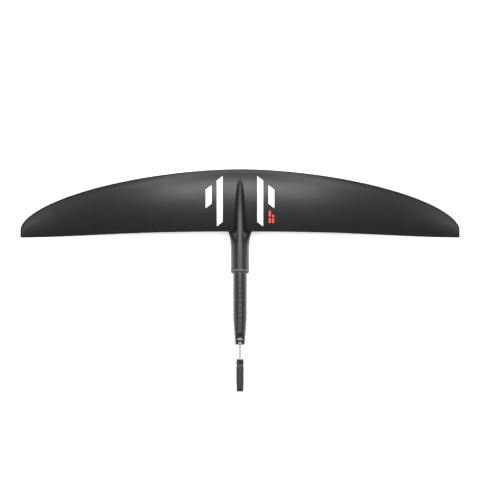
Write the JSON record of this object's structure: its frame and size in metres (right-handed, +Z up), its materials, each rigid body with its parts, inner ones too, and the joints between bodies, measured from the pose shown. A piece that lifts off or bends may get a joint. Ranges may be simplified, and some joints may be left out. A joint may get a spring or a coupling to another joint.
{
  "type": "hydrofoil front wing",
  "caption": "High-aspect hydrofoil front wing with drooped tips, a fuselage stub that ends in a forked tenon, and a short wire rope with an anchor that draws it into the mast's fuselage.",
  "frame": {"origin": "on the tenon's axis, where it leaves the leaning rear face of the fuselage stub", "axes": "+X to starboard along the span, +Y forward towards the leading edge, +Z up"},
  "size_m": [1, 0.5009, 0.092],
  "materials": {
    "carbon": "satin clear-coated carbon laminate",
    "foam": "closed-cell structural foam, unpainted",
    "laminate": "cured unidirectional carbon, bare",
    "tenon_coat": "fine satin carbon moulding",
    "gasket_rubber": "blue-grey moulded rubber",
    "steel": "brushed stainless steel",
    "rope_steel": "bright stranded stainless wire",
    "anchor_coat": "satin black glass-filled nylon",
    "bronze": "turned bearing bronze"
  },
  "bodies": {
    "wing": {"wing_upper_skin": "carbon", "wing_lower_skin": "carbon", "spar_cap_upper": "laminate", "spar_cap_lower": "laminate", "shear_web": "laminate", "core_front_left": "foam", "core_front_right": "foam", "core_rear_left": "foam", "core_rear_right": "foam", "root_block_front": "laminate", "root_block_rear": "laminate", "fuselage_upper_shell": "carbon", "fuselage_lower_shell": "carbon", "spine_core": "foam", "end_gasket": "gasket_rubber", "tenon": "tenon_coat", "tenon_dowels": "steel", "clevis_pin": "steel", "pin_plugs": "anchor_coat"},
    "cable": {"cable_terminal": "steel", "terminal_bush": "bronze", "wire_rope": "rope_steel", "cable_barrel": "steel"},
    "anchor": {"anchor_body": "anchor_coat", "threaded_insert": "steel"}
  },
  "joints": [
    {"name": "terminal_pivot", "type": "hinge", "parent": "wing", "child": "cable", "pos_m": [0, -0.152, 0], "axis": [1, 0, 0], "range_deg": [-90, 90]},
    {"name": "anchor_pivot", "type": "hinge", "parent": "cable", "child": "anchor", "pos_m": [0, -0.211, 0], "axis": [1, 0, 0], "range_deg": [-85, 0]}
  ]
}
